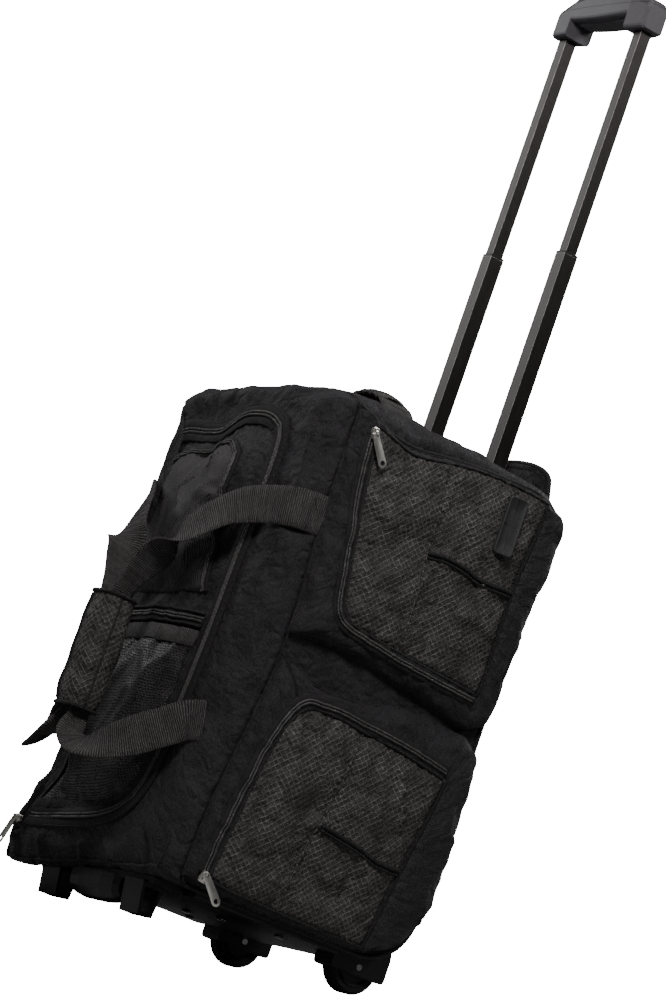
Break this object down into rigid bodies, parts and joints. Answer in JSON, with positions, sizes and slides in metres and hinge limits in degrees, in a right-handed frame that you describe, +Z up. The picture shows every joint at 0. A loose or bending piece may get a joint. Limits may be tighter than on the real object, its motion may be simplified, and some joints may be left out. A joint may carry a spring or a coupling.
{
  "type": "rolling duffel bag",
  "caption": "Upright rolling duffel bag with a hinged front lid, zipped side pockets, webbing carry handles, moulded feet, wheels and a telescopic pull handle.",
  "frame": {"origin": "on the ground, under the middle of the object's overall box", "axes": "+Z up the pull handle, +Y towards the bag's back where the handle and wheels are, +X to its right side; the lid faces -Y"},
  "size_m": [0.3284, 0.37, 1.035],
  "materials": {
    "polyester": "plain woven polyester, wrinkled",
    "ripstop": "ripstop weave with a lighter diamond grid",
    "knit_mesh": "warp-knitted open mesh",
    "webbing": "cross-ribbed webbing",
    "black_plastic": "moulded, fine grain",
    "grip_plastic": "satin moulded",
    "tyre_rubber": "matte",
    "anodised_tube": "black-brown, satin",
    "nickel": "satin nickel plate",
    "steel": "bright",
    "label_rubber": "matte, blank"
  },
  "bodies": {
    "bag": {"main_shell": "polyester", "back_cover": "polyester", "upper_right_pocket": "ripstop", "upper_left_pocket": "ripstop", "lower_right_pocket": "ripstop", "lower_left_pocket": "ripstop", "label_patch": "label_rubber", "handle_hood": "polyester", "carry_handle_right": "webbing", "carry_handle_left": "webbing", "wrap_grip": "ripstop", "top_grab_handle": "webbing", "base_tray": "black_plastic", "base_rivet_1": "steel", "base_rivet_2": "steel", "base_rivet_3": "steel", "base_rivet_4": "steel", "front_stand": "black_plastic", "wheel_housing_right": "black_plastic", "wheel_housing_left": "black_plastic", "axle_right": "steel", "axle_left": "steel", "tube_base_bracket": "black_plastic", "tube_bezel": "black_plastic", "fixed_tube_right": "anodised_tube", "fixed_tube_left": "anodised_tube"},
    "lid": {"main_lid": "polyester", "upper_mesh_pocket": "knit_mesh", "lower_mesh_pocket": "knit_mesh"},
    "wheel_right": {"tyre_right": "tyre_rubber", "wheel_hub_right": "black_plastic"},
    "wheel_left": {"tyre_left": "tyre_rubber", "wheel_hub_left": "black_plastic"},
    "middle_stage": {"middle_tube_right": "anodised_tube", "middle_tube_left": "anodised_tube", "stage_glide_right": "black_plastic", "stage_glide_left": "black_plastic"},
    "inner_stage": {"inner_tube_right": "anodised_tube", "inner_tube_left": "anodised_tube", "grip_upper": "grip_plastic", "grip_lower": "grip_plastic"},
    "trigger": {"release_trigger": "black_plastic", "release_rod_right": "steel", "release_rod_left": "steel"},
    "upper_right_zip_slider": {"upper_right_zip_slider": "nickel"},
    "upper_right_zip_tab": {"upper_right_zip_tab": "nickel"},
    "lower_right_zip_slider": {"lower_right_zip_slider": "nickel"},
    "lower_right_zip_tab": {"lower_right_zip_tab": "nickel"},
    "upper_left_zip_slider": {"upper_left_zip_slider": "nickel"},
    "upper_left_zip_tab": {"upper_left_zip_tab": "nickel"},
    "lower_left_zip_slider": {"lower_left_zip_slider": "nickel"},
    "lower_left_zip_tab": {"lower_left_zip_tab": "nickel"},
    "main_zip_slider": {"main_zip_slider": "nickel"},
    "main_zip_tab": {"main_zip_tab": "nickel"},
    "upper_mesh_zip_slider": {"upper_mesh_zip_slider": "nickel"},
    "upper_mesh_zip_tab": {"upper_mesh_zip_tab": "nickel"},
    "lower_mesh_zip_slider": {"lower_mesh_zip_slider": "nickel"},
    "lower_mesh_zip_tab": {"lower_mesh_zip_tab": "nickel"}
  },
  "joints": [
    {"name": "lid_open", "type": "hinge", "parent": "bag", "child": "lid", "pos_m": [-0.121, -0.0882, 0.265], "axis": [0, 0, -1], "range_deg": [0, 100], "deforming": ["carry_handle_right", "carry_handle_left", "wrap_grip"]},
    {"name": "right_wheel_spin", "type": "hinge", "parent": "bag", "child": "wheel_right", "pos_m": [0.104, 0.1446, 0.027], "axis": [1, 0, 0], "continuous": true},
    {"name": "left_wheel_spin", "type": "hinge", "parent": "bag", "child": "wheel_left", "pos_m": [-0.104, 0.1446, 0.027], "axis": [1, 0, 0], "continuous": true},
    {"name": "middle_stage_slide", "type": "slide", "parent": "bag", "child": "middle_stage", "axis": [0, 0, 1], "range_m": [-0.232, 0]},
    {"name": "inner_stage_slide", "type": "slide", "parent": "middle_stage", "child": "inner_stage", "axis": [0, 0, 1], "range_m": [-0.235, 0]},
    {"name": "trigger_squeeze", "type": "slide", "parent": "inner_stage", "child": "trigger", "axis": [0, 0, 1], "range_m": [0, 0.003], "stiffness_N_per_m": 900, "springref_m": -0.003},
    {"name": "upper_right_zip_slide", "type": "slide", "parent": "bag", "child": "upper_right_zip_slider", "axis": [0, 0.1045, -0.9945], "range_m": [0, 0.115]},
    {"name": "upper_right_zip_tab_swing", "type": "hinge", "parent": "upper_right_zip_slider", "child": "upper_right_zip_tab", "pos_m": [0.1566, -0.05329, 0.48201], "axis": [1, 0, 0], "range_deg": [-57, 25]},
    {"name": "lower_right_zip_slide", "type": "slide", "parent": "bag", "child": "lower_right_zip_slider", "axis": [0, 0.1616, 0.9869], "range_m": [0, 0.15]},
    {"name": "lower_right_zip_tab_swing", "type": "hinge", "parent": "lower_right_zip_slider", "child": "lower_right_zip_tab", "pos_m": [0.1566, -0.06968, 0.04947], "axis": [1, 0, 0], "range_deg": [-65, 30]},
    {"name": "upper_left_zip_slide", "type": "slide", "parent": "bag", "child": "upper_left_zip_slider", "axis": [0, 0.1045, -0.9945], "range_m": [0, 0.115]},
    {"name": "upper_left_zip_tab_swing", "type": "hinge", "parent": "upper_left_zip_slider", "child": "upper_left_zip_tab", "pos_m": [-0.1566, -0.05329, 0.48201], "axis": [1, 0, 0], "range_deg": [-57, 25]},
    {"name": "lower_left_zip_slide", "type": "slide", "parent": "bag", "child": "lower_left_zip_slider", "axis": [0, 0.1616, 0.9869], "range_m": [0, 0.15]},
    {"name": "lower_left_zip_tab_swing", "type": "hinge", "parent": "lower_left_zip_slider", "child": "lower_left_zip_tab", "pos_m": [-0.1566, -0.06968, 0.04947], "axis": [1, 0, 0], "range_deg": [-65, 30]},
    {"name": "main_zip_slide", "type": "slide", "parent": "bag", "child": "main_zip_slider", "axis": [0.9969, 0.0789, 0], "range_m": [0, 0.12]},
    {"name": "main_zip_tab_swing", "type": "hinge", "parent": "main_zip_slider", "child": "main_zip_tab", "pos_m": [-0.124, -0.116, 0.06], "axis": [0, -1, 0], "range_deg": [-30, 60]},
    {"name": "upper_mesh_zip_slide", "type": "slide", "parent": "lid", "child": "upper_mesh_zip_slider", "axis": [0, 0, 1], "range_m": [0, 0.08]},
    {"name": "upper_mesh_zip_tab_swing", "type": "hinge", "parent": "upper_mesh_zip_slider", "child": "upper_mesh_zip_tab", "pos_m": [-0.092, -0.1134, 0.336], "axis": [0, -1, 0], "range_deg": [-40, 40]},
    {"name": "lower_mesh_zip_slide", "type": "slide", "parent": "lid", "child": "lower_mesh_zip_slider", "axis": [1, 0, 0], "range_m": [0, 0.11]},
    {"name": "lower_mesh_zip_tab_swing", "type": "hinge", "parent": "lower_mesh_zip_slider", "child": "lower_mesh_zip_tab", "pos_m": [-0.087, -0.1134, 0.278], "axis": [0, -1, 0], "range_deg": [-40, 40]}
  ]
}
